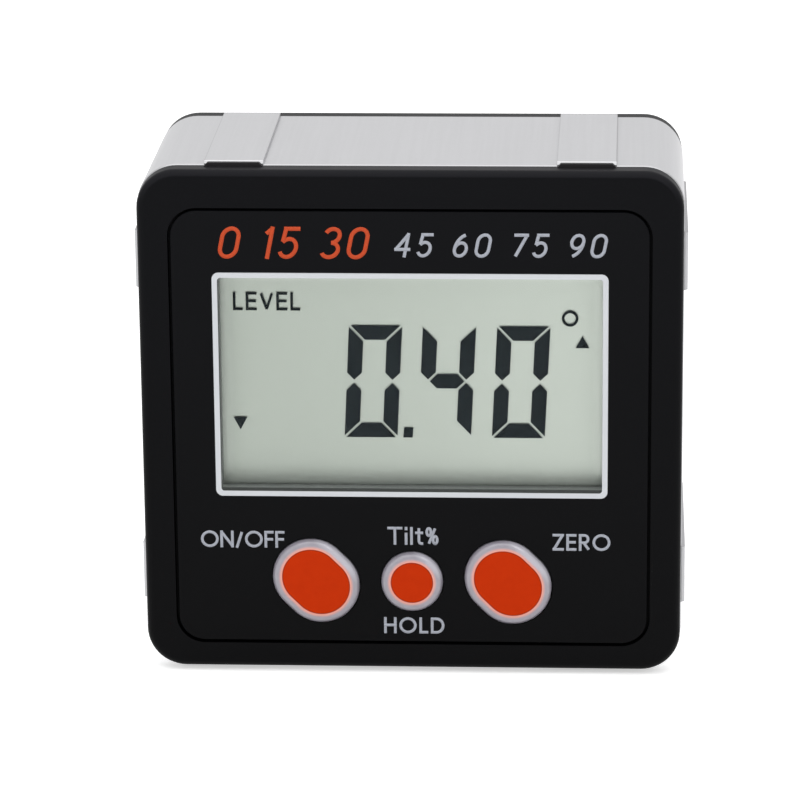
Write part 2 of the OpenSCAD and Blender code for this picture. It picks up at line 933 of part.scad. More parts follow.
module upper_cell() {
    color("#4a6f93")
    translate([contact_x - cell_len, front_y + depth_cell, mid_z + cell_z])
        battery_cell();
}

module lower_cell() {
    color("#4a6f93")
    translate([cell_len - contact_x, front_y + depth_cell, mid_z - cell_z])
        mirror([1, 0, 0])
            battery_cell();
}

// Contact plate at one end of the bay, spanning a height about its middle
module contact_plate(left, middle, height) {
    slab(depth_bay_floor, depth_cell + contact_h / 2)
        translate([left, middle - height / 2])
            square([contact_t, height]);
}

// Tail of a contact, through the floor of the bay to the back of the board
module contact_tail(middle) {
    slab(depth_board_back, depth_bay_floor + eps)
        translate([contact_x, middle - tail_w / 2])
            square([contact_t, tail_w]);
}

module bridge_contact() {
    color("#c7c2b2")
    contact_plate(-bay_len / 2, 0, cell_pitch + contact_h);
}

module positive_contact() {
    color("#c7c2b2")
    union() {
        contact_plate(contact_x, cell_z, contact_h);
        contact_tail(cell_z);
    }
}

module negative_contact() {
    color("#c7c2b2")
    union() {
        contact_plate(contact_x, -cell_z, contact_h);
        contact_tail(-cell_z);
    }
}

// Conical coil along X from its plate at the origin to the cell
module contact_spring() {
    sides = 8;
    rings = round(spring_turns * 18);
    rise = spring_len - 2 * spring_wire_r - 2 * eps;
    points = [
        for (i = [0:rings], j = [0:sides - 1])
            let (
                t = i / rings,
                turn = 360 * spring_turns * t,
                around = 360 * j / sides,
                r = spring_base_r + (spring_tip_r - spring_base_r) * t + spring_wire_r * cos(around)
            )
            [eps + spring_wire_r + rise * t + spring_wire_r * sin(around), r * cos(turn), r * sin(turn)]
    ];
    walls = [
        for (i = [0:rings - 1], j = [0:sides - 1])
            let (next = (j + 1) % sides)
            [i * sides + j, (i + 1) * sides + j, (i + 1) * sides + next, i * sides + next]
    ];
    first_end = [for (j = [0:sides - 1]) j];
    last_end = [for (j = [0:sides - 1]) (rings + 1) * sides - 1 - j];
    polyhedron(points, concat(walls, [first_end, last_end]));
}

module contact_springs() {
    color("#c7c2b2")
    for (turn = [0, 180])
        translate([0, front_y + depth_cell, mid_z])
            rotate([0, turn, 0])
                translate([-contact_x, 0, cell_z])
                    contact_spring();
}

module rear_screws() {
    color("#9a9ca0")
    for (c = corners)
        translate([c[0] * channel_x, front_y + depth_back - head_h - head_sink, mid_z + c[1] * channel_z])
            rotate([-90, 0, 0])
                screw(channel_r - thread_gap, screw_len, head_r, head_h, false);
}

frame();
base_magnets();
front_cover();
face_panel();
display_window();
display_gasket();
lcd_cell();
contact_strips();
circuit_board();
switch_housings();
tilt_sensor();
processor();
quartz_crystal();
chip_capacitors();
board_screws();
front_screws();
power_key();
hold_key();
zero_key();
power_plunger();
hold_plunger();
zero_plunger();
rear_cover();
battery_door();
upper_cell();
lower_cell();
bridge_contact();
positive_contact();
negative_contact();
contact_springs();
rear_screws();
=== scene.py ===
# %% [markdown]
# A box gauge for angles: an extruded aluminium frame between two black moulded covers, with a
# display and three keys on its face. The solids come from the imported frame, so this lesson gives
# them their finishes and adds what is only printed, plated or shown on them.

# %% Load the frame
import math

import bpy
from mathutils import Matrix, Vector


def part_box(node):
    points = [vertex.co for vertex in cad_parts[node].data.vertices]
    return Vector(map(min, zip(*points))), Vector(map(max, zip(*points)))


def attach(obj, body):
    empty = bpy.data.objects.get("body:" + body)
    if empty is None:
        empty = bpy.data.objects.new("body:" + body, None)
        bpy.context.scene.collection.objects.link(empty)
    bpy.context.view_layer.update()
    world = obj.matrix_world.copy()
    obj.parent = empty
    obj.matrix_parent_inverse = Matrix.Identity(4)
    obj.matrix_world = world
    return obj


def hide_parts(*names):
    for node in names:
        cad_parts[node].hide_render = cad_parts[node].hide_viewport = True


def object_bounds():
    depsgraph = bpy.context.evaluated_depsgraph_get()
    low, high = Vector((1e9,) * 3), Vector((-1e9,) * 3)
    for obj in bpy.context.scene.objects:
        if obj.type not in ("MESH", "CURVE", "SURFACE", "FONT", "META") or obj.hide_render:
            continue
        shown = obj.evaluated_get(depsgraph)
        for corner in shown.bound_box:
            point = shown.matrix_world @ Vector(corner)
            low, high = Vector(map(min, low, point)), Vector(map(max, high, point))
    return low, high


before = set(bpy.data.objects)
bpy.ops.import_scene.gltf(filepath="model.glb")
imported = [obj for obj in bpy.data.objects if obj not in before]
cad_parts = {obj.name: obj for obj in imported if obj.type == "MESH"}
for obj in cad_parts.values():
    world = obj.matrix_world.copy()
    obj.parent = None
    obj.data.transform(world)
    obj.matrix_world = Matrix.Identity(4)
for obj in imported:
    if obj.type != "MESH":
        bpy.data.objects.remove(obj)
cad_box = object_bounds()
MM = 0.001
BODY = "gauge_body"


def in_mm(box):
    return [round(v / MM, 2) for corner in box for v in corner]


print("nodes", len(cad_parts), "box in mm", in_mm(cad_box))

# %% [markdown]
# Every finish here is a small tree of shader nodes. Wiring each node by hand hides the idea, so
# one class wraps a socket and lets Python's own operators add the Math nodes: 1 - mask is then
# written as it is thought.

# %% Sockets that can be calculated with
class Socket:
    def __init__(self, finish, output):
        self.finish = finish
        self.output = output

    def maths(self, operation, *values):
        return self.finish.node("ShaderNodeMath", {"operation": operation}, dict(enumerate(values)))

    def __add__(self, other):
        return self.maths("ADD", self, other)

    def __radd__(self, other):
        return self.maths("ADD", other, self)

    def __sub__(self, other):
        return self.maths("SUBTRACT", self, other)

    def __rsub__(self, other):
        return self.maths("SUBTRACT", other, self)

    def __mul__(self, other):
        return self.maths("MULTIPLY", self, other)

    def __rmul__(self, other):
        return self.maths("MULTIPLY", other, self)

    def __truediv__(self, other):
        return self.maths("DIVIDE", self, other)

    def __rtruediv__(self, other):
        return self.maths("DIVIDE", other, self)

    def __abs__(self):
        return self.maths("ABSOLUTE", self)

    def at_least(self, other):
        return self.maths("MAXIMUM", self, other)

    def root(self):
        return self.maths("SQRT", self)

    def zigzag(self, half):
        """Runs up from 0 to half and down again, over and over."""
        return self.maths("PINGPONG", self, half)

    def rise(self, low, high):
        """0 below low and 1 above high, with a smooth step between them."""
        return self.finish.node(
            "ShaderNodeMapRange", {"interpolation_type": "SMOOTHSTEP"},
            {"Value": self, "From Min": low, "From Max": high},
        )


# %% [markdown]
# A second class holds the tree of one material. It makes any node by its type, with the settings
# first and then the values or links of its sockets, so a finish reads like a recipe from top to
# bottom. It ends in one Principled surface, or in two that a mask mixes.

# %% The tree of one finish
class Finish:
    def __init__(self, name):
        self.material = bpy.data.materials.new(name)
        self.material.use_nodes = True
        self.tree = self.material.node_tree
        self.tree.nodes.clear()
        self.place = self.node("ShaderNodeTexCoord", output="Object")

    def feed(self, socket, value):
        """Links a socket to another one, or sets it to a constant."""
        if isinstance(value, Socket):
            self.tree.links.new(value.output, socket)
        else:
            socket.default_value = value

    def node(self, kind, settings=None, sockets=None, output=0):
        made = self.tree.nodes.new(kind)
        for name, value in (settings or {}).items():
            setattr(made, name, value)
        for key, value in (sockets or {}).items():
            self.feed(made.inputs[key], value)
        return Socket(self, made.outputs[output]) if made.outputs else None

    def axes(self):
        """The X, Y and Z of a place on the object, in metres."""
        split = self.node("ShaderNodeSeparateXYZ", sockets={0: self.place}).output.node
        return [Socket(self, split.outputs[i]) for i in range(3)]

    def stretched(self, scale):
        """Object coordinates stretched along the axes, for a pattern to read."""
        return self.node("ShaderNodeMapping", sockets={"Vector": self.place, "Scale": scale})

    def noise(self, scale, detail=3, place=None):
        """Cloudy values round 0.5."""
        return self.node("ShaderNodeTexNoise", sockets={
            "Vector": place or self.place, "Scale": scale, "Detail": detail, "Roughness": 0.55,
        })

    def blend(self, share, first, second):
        """A colour that goes from the first to the second as the share goes from 0 to 1."""
        mixed = self.node("ShaderNodeMix", {"data_type": "RGBA"}).output.node
        self.feed(mixed.inputs[0], share)
        for index, color in ((6, first), (7, second)):
            self.feed(mixed.inputs[index], color if isinstance(color, Socket) else (*color, 1))
        return Socket(self, mixed.outputs[2])

    def bump(self, height, depth):
        return self.node("ShaderNodeBump", sockets={"Height": height, "Distance": depth})

    def shader(self, **sockets):
        named = {key.replace("_", " "): value for key, value in sockets.items()}
        return self.node("ShaderNodeBsdfPrincipled", sockets=named)

    def ends_in(self, shader):
        self.node("ShaderNodeOutputMaterial", sockets={0: shader})
        return self.material

    def surface(self, **sockets):
        return self.ends_in(self.shader(**sockets))


# %% [markdown]
# Colours are picked on a screen in steps from 0 to 255, but Blender mixes light, so each one is
# turned into linear light first. Metals, which are given as light, and every finish that wanders
# round its own colour use lighter and darker tints of it.

# %% Colours
def shade(red, green, blue):
    """A screen colour from 0 to 255 as the linear light that Blender mixes."""
    return tuple(
        v / 255 / 12.92 if v <= 10 else ((v / 255 + 0.055) / 1.055) ** 2.4
        for v in (red, green, blue)
    )


def tinted(color, share):
    return [v * share for v in color]


print("a screen grey of 128 is", round(shade(128, 128, 128)[0], 3), "of the light of white")

# %% [markdown]
# The gauge stands on a pale table in soft studio light. A large soft lamp overhead gives the metal
# its even grey, and two lamps beside the camera light the face. The floor keeps a faint shadow,
# and both floor and sky look white to the camera and in reflections.

# %% Floor, sky and lamps
FLOOR_SIZE = 6.0
FLOOR_TONE = (0.9, 0.9, 0.9, 1)
FLOOR_GLOW = 0.5
SKY_LIGHT = 0.66
# Place, size and power of each lamp, in metres and watts.
LAMPS = {
    "lamp_over": ((0.00, -0.10, 0.62), 0.78, 1.85),
    "lamp_left": ((-0.42, -0.62, 0.34), 0.5, 0.55),
    "lamp_right": ((0.34, -0.52, 0.52), 0.16, 0.42),
}


def seen_white(finish):
    """1 for rays that see the background, and 0 for those that carry its light to the object."""
    path = finish.node("ShaderNodeLightPath").output.node
    camera, glossy, through = (
        Socket(finish, path.outputs[name])
        for name in ("Is Camera Ray", "Is Glossy Ray", "Is Transmission Ray")
    )
    return camera.at_least(glossy).at_least(through)


floor_finish = Finish("pale_floor")
lit = floor_finish.node("ShaderNodeBsdfDiffuse", sockets={"Color": FLOOR_TONE})
seen = seen_white(floor_finish)
glow = floor_finish.node("ShaderNodeEmission", sockets={"Strength": FLOOR_GLOW * seen})
floor_finish.ends_in(floor_finish.node("ShaderNodeAddShader", sockets={0: lit, 1: glow}))

half_floor = FLOOR_SIZE / 2
floor_mesh = bpy.data.meshes.new("floor")
floor_mesh.from_pydata(
    [(sx * half_floor, sy * half_floor, 0) for sx, sy in ((-1, -1), (1, -1), (1, 1), (-1, 1))],
    [], [(0, 1, 2, 3)],
)
floor = bpy.data.objects.new("floor", floor_mesh)
floor.data.materials.append(floor_finish.material)
bpy.context.scene.collection.objects.link(floor)

world = bpy.data.worlds.new("studio")
bpy.context.scene.world = world


class Sky(Finish):
    """The tree of the world, which has no object to take coordinates from."""

    def __init__(self, world):
        world.use_nodes = True
        self.tree = world.node_tree
        self.tree.nodes.clear()


sky = Sky(world)
level = SKY_LIGHT + (1 - SKY_LIGHT) * seen_white(sky)
light = sky.node("ShaderNodeBackground", sockets={"Color": (1, 1, 1, 1), "Strength": level})
sky.node("ShaderNodeOutputWorld", sockets={0: light})

cad_middle = (cad_box[0] + cad_box[1]) / 2
for name, (spot, size, power) in LAMPS.items():
    lamp = bpy.data.lights.new(name, "AREA")
    lamp.size = size
    lamp.energy = power
    holder = bpy.data.objects.new(name, lamp)
    holder.location = spot
    holder.rotation_euler = (cad_middle - Vector(spot)).to_track_quat("-Z", "Y").to_euler()
    bpy.context.scene.collection.objects.link(holder)
print("lamps", list(LAMPS), "sky", SKY_LIGHT)

# %% [markdown]
# The camera was found from the photograph: a long lens, a little to the right of the gauge and
# above it. Its place and angles are plain numbers here, and the matrix is built from its own axes,
# because three angles in the wrong order are easy to confuse.

# %% Camera
LENS = 189.16
SENSOR = 36
CAMERA_PLACE = Vector((23.928, -458.912, 165.717)) * MM
PITCH, YAW, ROLL = (math.radians(v) for v in (16.698, 3.231, 0.533))

flat = math.cos(PITCH)
ahead = Vector((-math.sin(YAW) * flat, math.cos(YAW) * flat, -math.sin(PITCH)))
level_right = Vector((math.cos(YAW), math.sin(YAW), 0))
level_down = ahead.cross(level_right)
right = math.cos(ROLL) * level_right + math.sin(ROLL) * level_down
down = math.cos(ROLL) * level_down - math.sin(ROLL) * level_right

camera_data = bpy.data.cameras.new("camera")
camera_data.lens = LENS
camera_data.sensor_width = SENSOR
camera_data.clip_start = 10 * MM
camera = bpy.data.objects.new("camera", camera_data)
axes = Matrix((right, -down, -ahead)).transposed()
camera.matrix_world = Matrix.Translation(CAMERA_PLACE) @ axes.to_4x4()
bpy.context.scene.collection.objects.link(camera)
bpy.context.scene.camera = camera
bpy.context.scene.view_settings.view_transform = "Standard"
print("camera looks along", [round(v, 3) for v in ahead])

# %% [markdown]
# A solid from the frame keeps its mesh and only gets a new material. One helper gives a finish to
# any number of them, takes away the plain colour they came with, and says what it dressed.

# %% Dressing helper
def dress(material, *names):
    for name in names:
        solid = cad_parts[name]
        solid.data.materials.clear()
        solid.data.materials.append(material)
    print(material.name, "on", ", ".join(names))


# %% [markdown]
# The frame is extruded aluminium with a satin anodised skin. Extrusion leaves hair lines along its
# length and the skin a very fine grain. Both are noise on object coordinates: the first is
# stretched along Y, the way the metal left the die. Painted shade draws a fine dark line in the
# corners beside the raised lands and darkens the sawn, bevelled ends to tone down their highlight.

# %% Aluminium
LINE_STRETCH = 60
FINE_GRAIN = 2600
CLOUDS = 60


def satin_metal(finish, color, roughness, line_scale, line_depth, along=1, painted_shade=0.0):
    """Metal with hair lines along one axis, darker where the painted shade goes from 0 to 1."""
    scale = [line_scale] * 3
    scale[along] = line_scale / LINE_STRETCH
    lines = finish.noise(1.0, 4, finish.stretched(scale))
    grain = finish.noise(FINE_GRAIN, 2)
    clouds = finish.noise(CLOUDS, 2)
    tone = 0.5 * lines + 0.3 * grain + 0.2 * clouds
    unshaded = finish.blend(tone, tinted(color, 0.86), tinted(color, 1.1))
    return finish.surface(
        Base_Color=finish.blend(painted_shade, unshaded, tinted(color, 0.6)),
        Metallic=1.0,
        Roughness=roughness - 0.06 + 0.12 * tone,
        Normal=finish.bump(lines + 0.6 * grain, line_depth),
    )


ANODISED = (0.565, 0.565, 0.58)
# Where the lands begin and end, across the top and base and then up the sides.
LAND_EDGES = ((16.1 * MM, 22.6 * MM), (14.9 * MM, 21.4 * MM))
# How dark the painted shade beside the lands is, at their inner and outer edges.
EDGE_SHADE = (0.3, 0.6)
LINE = 0.09 * MM
BEVEL = 0.22 * MM
BEVEL_SHADE = 0.6
SOFT = 0.05 * MM

body_metal = Finish("satin_aluminium")
x, y, z = body_metal.axes()
# Painted shade: a fine dark line in the corners beside the lands, and darker bevelled ends that
# tone down their highlight.
shade_beside_land = 0.0
for across, edges in zip((x, z - cad_middle.z), LAND_EDGES):
    for edge, share in zip(edges, EDGE_SHADE):
        near = 1 - abs(abs(across) - edge).rise(0.3 * LINE, LINE)
        shade_beside_land = (share * near).at_least(shade_beside_land)
frame_low, frame_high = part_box("frame")
to_end = (frame_high.y - frame_low.y) / 2 - abs(y - (frame_low.y + frame_high.y) / 2)
frame_shade = (BEVEL_SHADE * (1 - to_end.rise(BEVEL, BEVEL + SOFT))).at_least(shade_beside_land)
dress(satin_metal(body_metal, ANODISED, 0.40, 2400, 0.003 * MM, painted_shade=frame_shade), "frame")

# %% [markdown]
# The covers are moulded in black plastic with a fine spark-eroded texture. A dielectric this dark
# shows little but its gloss, so the bump and the roughness carry the texture, and the constant
# specular level keeps the pale room from turning the face grey. Painted shade makes the black a
# little deeper towards the foot, a painted highlight pales the rounded upper edge, the pads that
# meet the lands are a paler grey, and the wall of the opening round the display is painted pale
# with a painted glow that fills in its shade, so that the display isn't framed by a black line.

# %% Black plastics
# Painted shade: the black is painted darker towards the foot and paler towards the top.
SHADED_FOOT_BLACK = (0.0004, 0.0004, 0.0006)
LIT_TOP_BLACK = (0.0034, 0.0036, 0.0048)
HANDLING = 70


def moulded_black(finish, roughness, grain, depth, gloss, areas=(), **more):
    """Black plastic with any number of areas of another colour, each a mask and its colour."""
    # The height share paints shade: the black deepens towards the foot.
    height = finish.axes()[2].rise(cad_box[0].z, cad_box[1].z)
    sparks = finish.noise(grain, 3)
    handling = finish.noise(HANDLING, 3)
    color = finish.blend(0.6 * height + 0.25 * sparks + 0.15 * handling, SHADED_FOOT_BLACK, LIT_TOP_BLACK)
    for mask, other in areas:
        color = finish.blend(mask, color, other)
    return finish.surface(
        Base_Color=color,
        Roughness=roughness - 0.08 + 0.1 * sparks + 0.08 * handling,
        Specular_IOR_Level=gloss,
        Normal=finish.bump(sparks, depth),
        **more,
    )


PANEL = {"roughness": 0.42, "grain": 5200, "depth": 0.006 * MM, "gloss": 0.07}
dress(moulded_black(Finish("panel_black"), **PANEL), "face_panel")

# %% [markdown]
# Four masks mark the front cover. The opening is a box behind the window, the pads are what stands
# past the height of the cover, and the painted highlight on the edge follows the distance from its
# rounded outline. The painted glow on the opening's wall fades with depth.

# %% Front cover
PANEL_MARGIN = 3.25
COVER_HALF_W = 30.0 * MM
COVER_CORNER = 4.4 * MM
# A painted highlight, a paler black, runs along the rounded upper edge.
SHEEN_BAND = 0.62 * MM
SHEEN_SOFT = 0.12 * MM
GLOW_DEPTH = (0.3 * MM, 1.6 * MM)
PAINTED_SHEEN = (0.0105, 0.0105, 0.0128)
PAD_GREY = (0.026, 0.024, 0.026)
PAINTED_LIT_WALL = shade(79, 83, 81)
window_low, window_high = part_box("display_window")
window_middle = (window_low + window_high) / 2
window_half_w = (window_high.x - window_low.x) / 2
window_half_h = (window_high.z - window_low.z) / 2

front_black = Finish("front_black")
x, y, z = front_black.axes()
inside_w = 1 - abs(x - window_middle.x).rise(window_half_w, window_half_w + SOFT)
inside_h = 1 - abs(z - window_middle.z).rise(window_half_h, window_half_h + SOFT)
behind = y.rise(window_high.y - SOFT, window_high.y + SOFT)
opening = inside_w * inside_h * behind
cover_half_h = cad_middle.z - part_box("face_panel")[0].z + PANEL_MARGIN * MM
past_w = (abs(x) - (COVER_HALF_W - COVER_CORNER)).at_least(0)
past_h = (z - cad_middle.z - (cover_half_h - COVER_CORNER)).at_least(0)
from_corner = (past_w * past_w + past_h * past_h).root() - COVER_CORNER
upper = past_h.rise(0, 0.8 * COVER_CORNER)
# Painted highlight on the rounded upper edge.
painted_sheen_mask = from_corner.rise(-SHEEN_BAND - SHEEN_SOFT, -SHEEN_BAND + SHEEN_SOFT) * upper
pads = (abs(z - cad_middle.z) - cover_half_h).rise(-SOFT, SOFT)
# Painted light: the opening's wall is painted pale and glows, most next to the window, to fill in
# its shade.
near_window = 1 - y.rise(*(window_high.y + depth for depth in GLOW_DEPTH))
painted_glow = front_black.blend(near_window, shade(20, 22, 21), shade(80, 83, 81))
dress(moulded_black(
    front_black, roughness=0.46, grain=3800, depth=0.012 * MM, gloss=0.07,
    areas=((painted_sheen_mask, PAINTED_SHEEN), (pads, PAD_GREY), (opening, PAINTED_LIT_WALL)),
    Emission_Color=front_black.blend(opening, (0, 0, 0), painted_glow), Emission_Strength=1.0,
), "front_cover")

# %% [markdown]
# The back has a coarser grain and a little more gloss than the face. On the battery door a matt
# arrow shows which way it slides. It is a mask again: a triangle whose two slanted sides meet on
# the door's middle line, and only on the outer face.

# %% Back plastics
ARROW_TIP = 21.5 * MM
ARROW_LONG = 4.2 * MM
ARROW_SLOPE = 0.62
ARROW_SOFT = 0.06 * MM
BACK = {"roughness": 0.5, "grain": 2600, "depth": 0.03 * MM, "gloss": 0.16}

dress(moulded_black(Finish("rear_black"), **BACK), "rear_cover")
door_black = Finish("door_black")
x, y, z = door_black.axes()
door_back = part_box("battery_door")[1].y
to_tip = ARROW_TIP - x
between = (ARROW_SLOPE * to_tip - abs(z - cad_middle.z)).rise(0, ARROW_SOFT)
not_past = (ARROW_LONG - to_tip).rise(0, ARROW_SOFT)
outer = y.rise(door_back - 2 * SOFT, door_back - SOFT)
arrow = between * not_past * outer
dress(moulded_black(door_black, areas=[(arrow, shade(118, 120, 124))], **BACK), "battery_door")

# %% [markdown]
# The window is a clear sheet with a pale border printed round its face. The border is a mask: the
# distance from the inside of a rounded rectangle, worked out from object coordinates. Inside it
# the sheet is nearly see-through, so the display behind it keeps its depth.

# %% Display window
BORDER = 0.6 * MM
BORDER_CORNER = 0.35 * MM
BORDER_SOFT = 0.02 * MM
FACE_DEPTH = 0.1 * MM

clear = Finish("clear_window")
x, y, z = clear.axes()
beside = (abs(x - window_middle.x) - (window_half_w - BORDER - BORDER_CORNER)).at_least(0)
above = (abs(z - window_middle.z) - (window_half_h - BORDER - BORDER_CORNER)).at_least(0)
past_inside = (beside * beside + above * above).root() - BORDER_CORNER
on_face = 1 - y.rise(window_low.y + FACE_DEPTH, window_low.y + 2 * FACE_DEPTH)
border = past_inside.rise(-BORDER_SOFT, BORDER_SOFT) * on_face
dust = clear.noise(900, 2)
dress(clear.surface(
    Base_Color=clear.blend(border, shade(120, 126, 122), shade(216, 219, 223)),
    Roughness=0.06 + 0.05 * dust + 0.3 * border,
    Alpha=(0.008 + 0.008 * dust).at_least(border),
    Specular_IOR_Level=0.15,
), "display_window")

# %% [markdown]
# Behind the window lies a liquid crystal cell: two glass plates with a silvery reflector at the
# back. The reflector is a rough metal, so it mirrors the walls round it softly and each figure
# gets the pale shadow such displays have. Painted light makes it paler at its edges and towards
# the right. A plate is a stack of rectangles at given depths: that gives it ground edges, and
# lets the rear glass stop short of the two ledges that the contact strips press on. The new piece
# keeps the outline of the solid it replaces.

# %% Liquid crystal cell
REFLECTOR_DEPTH = 0.2 * MM
PLATE_GAP = 0.05 * MM
PAINTED_EDGE_LIGHT = 1.5 * MM
GROUND = 0.05 * MM
LEDGE = 2.3 * MM


def plate_mesh(name, low, high, rings):
    """A plate between two corners: a ring has a depth, and what it draws in aside and upwards."""
    points = [
        corner for depth, aside, up in rings for corner in (
            (low.x + aside, depth, low.z + up), (high.x - aside, depth, low.z + up),
            (high.x - aside, depth, high.z - up), (low.x + aside, depth, high.z - up),
        )
    ]
    last = len(points) - 4
    faces = [(0, 1, 2, 3), (last + 3, last + 2, last + 1, last)]
    for start in range(0, last, 4):
        for i in range(4):
            j = (i + 1) % 4
            faces.append((start + j, start + i, start + 4 + i, start + 4 + j))
    mesh = bpy.data.meshes.new(name)
    mesh.from_pydata(points, [], faces)
    return mesh


def piece(name, mesh, material, body):
    """A finished mesh as a piece that rides on a body."""
    mesh.materials.clear()
    mesh.materials.append(material)
    made = bpy.data.objects.new(name, mesh)
    bpy.context.scene.collection.objects.link(made)
    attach(made, body)
    print(name, "with", len(mesh.polygons), "faces")
    return made


cell_low, cell_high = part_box("lcd_cell")
mirror = Finish("display_reflector")
x, _, z = mirror.axes()
speckle = mirror.noise(7000, 2)
cloud = mirror.noise(45, 2)
# Painted light: the reflector is painted paler towards the right and along its edges.
painted_light_rightward = x.rise(cell_low.x, cell_high.x)
painted_light_sides = abs(x - window_middle.x).rise(window_half_w - BORDER - PAINTED_EDGE_LIGHT, window_half_w)
painted_light_top_foot = abs(z - window_middle.z).rise(window_half_h - BORDER - PAINTED_EDGE_LIGHT, window_half_h)
tone = mirror.blend(
    0.25 * speckle + 0.15 * cloud + 0.6 * painted_light_rightward, shade(173, 181, 172), shade(200, 208, 199),
)
reflector = mirror.surface(
    Base_Color=mirror.blend((0.7 * painted_light_sides).at_least(painted_light_top_foot), tone, shade(232, 240, 231)),
    Metallic=0.93,
    Roughness=0.34 + 0.08 * speckle,
    Specular_IOR_Level=0.2,
)
reflector_y = cell_low.y + REFLECTOR_DEPTH
ledge_y = (cell_low.y + cell_high.y) / 2
rear_rings = (
    (reflector_y, GROUND, GROUND), (reflector_y + GROUND, 0, 0), (ledge_y, 0, 0),
    (ledge_y, GROUND, LEDGE), (cell_high.y - GROUND, GROUND, LEDGE),
    (cell_high.y, 2 * GROUND, LEDGE + GROUND),
)
rear_mesh = plate_mesh("lcd_rear_plate", cell_low, cell_high, rear_rings)
lcd_rear = piece("lcd_rear_plate", rear_mesh, reflector, BODY)
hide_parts("lcd_cell")

glass = Finish("display_glass")
front_glass = glass.surface(
    Base_Color=glass.blend(glass.noise(200, 2), shade(120, 130, 122), shade(130, 138, 132)),
    Roughness=0.1,
    Alpha=0.006 + 0.006 * glass.noise(500, 2),
    Specular_IOR_Level=0.1,
)
front_rings = (
    (cell_low.y, GROUND, GROUND), (cell_low.y + GROUND, 0, 0), (reflector_y - PLATE_GAP, 0, 0),
)
front_mesh = plate_mesh("lcd_front_plate", cell_low, cell_high, front_rings)
piece("lcd_front_plate", front_mesh, front_glass, BODY)

# %% [markdown]
# The figures are dark liquid crystal between the plates: seven straight bars for each digit, cut
# at 45 degrees where they meet and leaning a little. One function draws the bars of a digit as
# flat outlines, and another gives every outline a small thickness, so that all figures are one
# mesh. The point and the two arrow heads are outlines of their own.

# %% Display figures
BAR = 1.65
BAR_GAP = 0.2
LEAN = math.tan(math.radians(2.8))
LIT_BARS = {"0": "abcdef", "4": "bcfg"}


def digit_bars(sign, left, foot, width, height):
    """Outlines of a digit's lit bars, in mm across and above the foot of the cover."""
    w, h, t, d = width - height * LEAN, height, BAR, BAR_GAP
    m = h / 2
    bars = {
        "a": [(d, h), (t + d, h - t), (w - t - d, h - t), (w - d, h)],
        "d": [(d, 0), (w - d, 0), (w - t - d, t), (t + d, t)],
        "f": [(0, h - d), (0, m + t / 2 + d), (t / 2, m + d), (t, m + t / 2 + d), (t, h - t - d)],
        "e": [(0, d), (t, t + d), (t, m - t / 2 - d), (t / 2, m - d), (0, m - t / 2 - d)],
        "g": [(t / 2 + d, m), (t + d, m - t / 2), (w - t - d, m - t / 2), (w - t / 2 - d, m),
              (w - t - d, m + t / 2), (t + d, m + t / 2)],
    }
    bars["b"] = [(w - x, z) for x, z in reversed(bars["f"])]
    bars["c"] = [(w - x, z) for x, z in reversed(bars["e"])]
    return [[(left + x + z * LEAN, foot + z) for x, z in bars[key]] for key in LIT_BARS[sign]]


print("lit bars of each digit", LIT_BARS)

# %% Figures on the display
# Each digit's left, foot, width and height, in mm from the middle and the foot of the cover.
DIGITS = (
    ("0", -7.57, 26.38, 6.54, 12.95),
    ("4", 0.65, 26.5, 6.53, 12.87),
    ("0", 8.88, 26.4, 6.52, 12.91),
)
POINT = [(-1.01, 26.37), (0.03, 26.37), (0.12, 27.51), (-0.92, 27.51)]
HEAD_DOWN = [(-19.98, 28.64), (-19.21, 27.17), (-18.44, 28.64)]
HEAD_UP = [(18.18, 36.86), (19.69, 36.86), (18.94, 38.24)]
FIGURE = 0.02
cover_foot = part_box("face_panel")[0].z / MM - PANEL_MARGIN
figure_y = cell_low.y + 1.5 * FIGURE * MM


def plates_mesh(name, outlines, y, thickness):
    """Flat outlines, drawn anticlockwise, as thin plates whose backs lie at y."""
    points, faces = [], []
    for outline in outlines:
        start, count = len(points), len(outline)
        for depth in (y, y - thickness):
            points += [(x * MM, depth, (z + cover_foot) * MM) for x, z in outline]
        back = range(start, start + count)
        front = range(start + count, start + 2 * count)
        faces.append(tuple(reversed(back)))
        faces.append(tuple(front))
        for i in range(count):
            j = (i + 1) % count
            faces.append((back[i], back[j], front[j], front[i]))
    mesh = bpy.data.meshes.new(name)
    mesh.from_pydata(points, [], faces)
    return mesh


outlines = [bar for digit in DIGITS for bar in digit_bars(*digit)] + [POINT, HEAD_DOWN, HEAD_UP]
crystal = Finish("dark_crystal")
fleck = crystal.noise(3000, 2)
crystal_dark = crystal.surface(
    Base_Color=crystal.blend(fleck, shade(20, 27, 31), shade(30, 38, 42)),
    Roughness=0.45 + 0.1 * fleck,
    Specular_IOR_Level=0.1,
)
figures = plates_mesh("display_figures", outlines, figure_y, FIGURE * MM)
piece("display_figures", figures, crystal_dark, BODY)

# %% [markdown]
# The words at the keys, the numbers of the small degree scale and the sign on the display are
# lines of even width. Each letter is drawn as a few strokes on a unit square, and a Geometry Nodes
# tree sweeps a flat profile along every stroke. A font would be quicker, but these round letters
# with square ends are nearer to the printing on such a gauge.

# %% Stroke letters
def bow(x, y, rx, ry, start, end, count=24):
    """Points on an ellipse from one angle to another, in degrees."""
    angles = [math.radians(start + (end - start) * i / count) for i in range(count + 1)]
    return [(x + rx * math.cos(a), y + ry * math.sin(a)) for a in angles]


